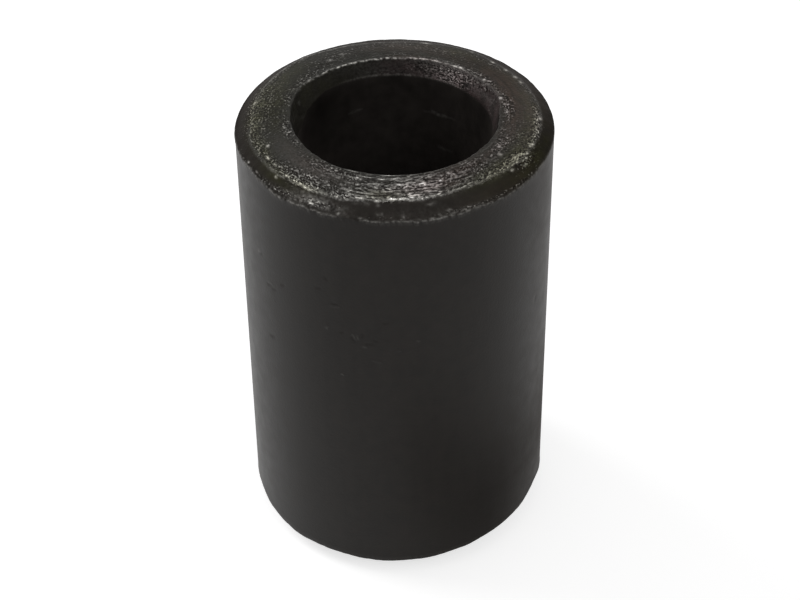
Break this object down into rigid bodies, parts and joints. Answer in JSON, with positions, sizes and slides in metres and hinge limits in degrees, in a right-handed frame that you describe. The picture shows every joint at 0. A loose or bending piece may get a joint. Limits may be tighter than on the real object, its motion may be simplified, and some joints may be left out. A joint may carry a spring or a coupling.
{
  "type": "spacer sleeve",
  "caption": "Thick-walled cylindrical spacer sleeve with a plain through bore, steep bore lead-ins and a turned edge break round each flat end, in blackened steel.",
  "frame": {"origin": "centre of the lower end face, on the sleeve's axis", "axes": "+Z along the sleeve's axis from the lower end to the upper end; X and Y are free because the sleeve is round"},
  "size_m": [0.026, 0.026, 0.04],
  "materials": {
    "blackened_steel": "satin"
  },
  "bodies": {
    "root": {"sleeve": "blackened_steel"}
  },
  "joints": []
}
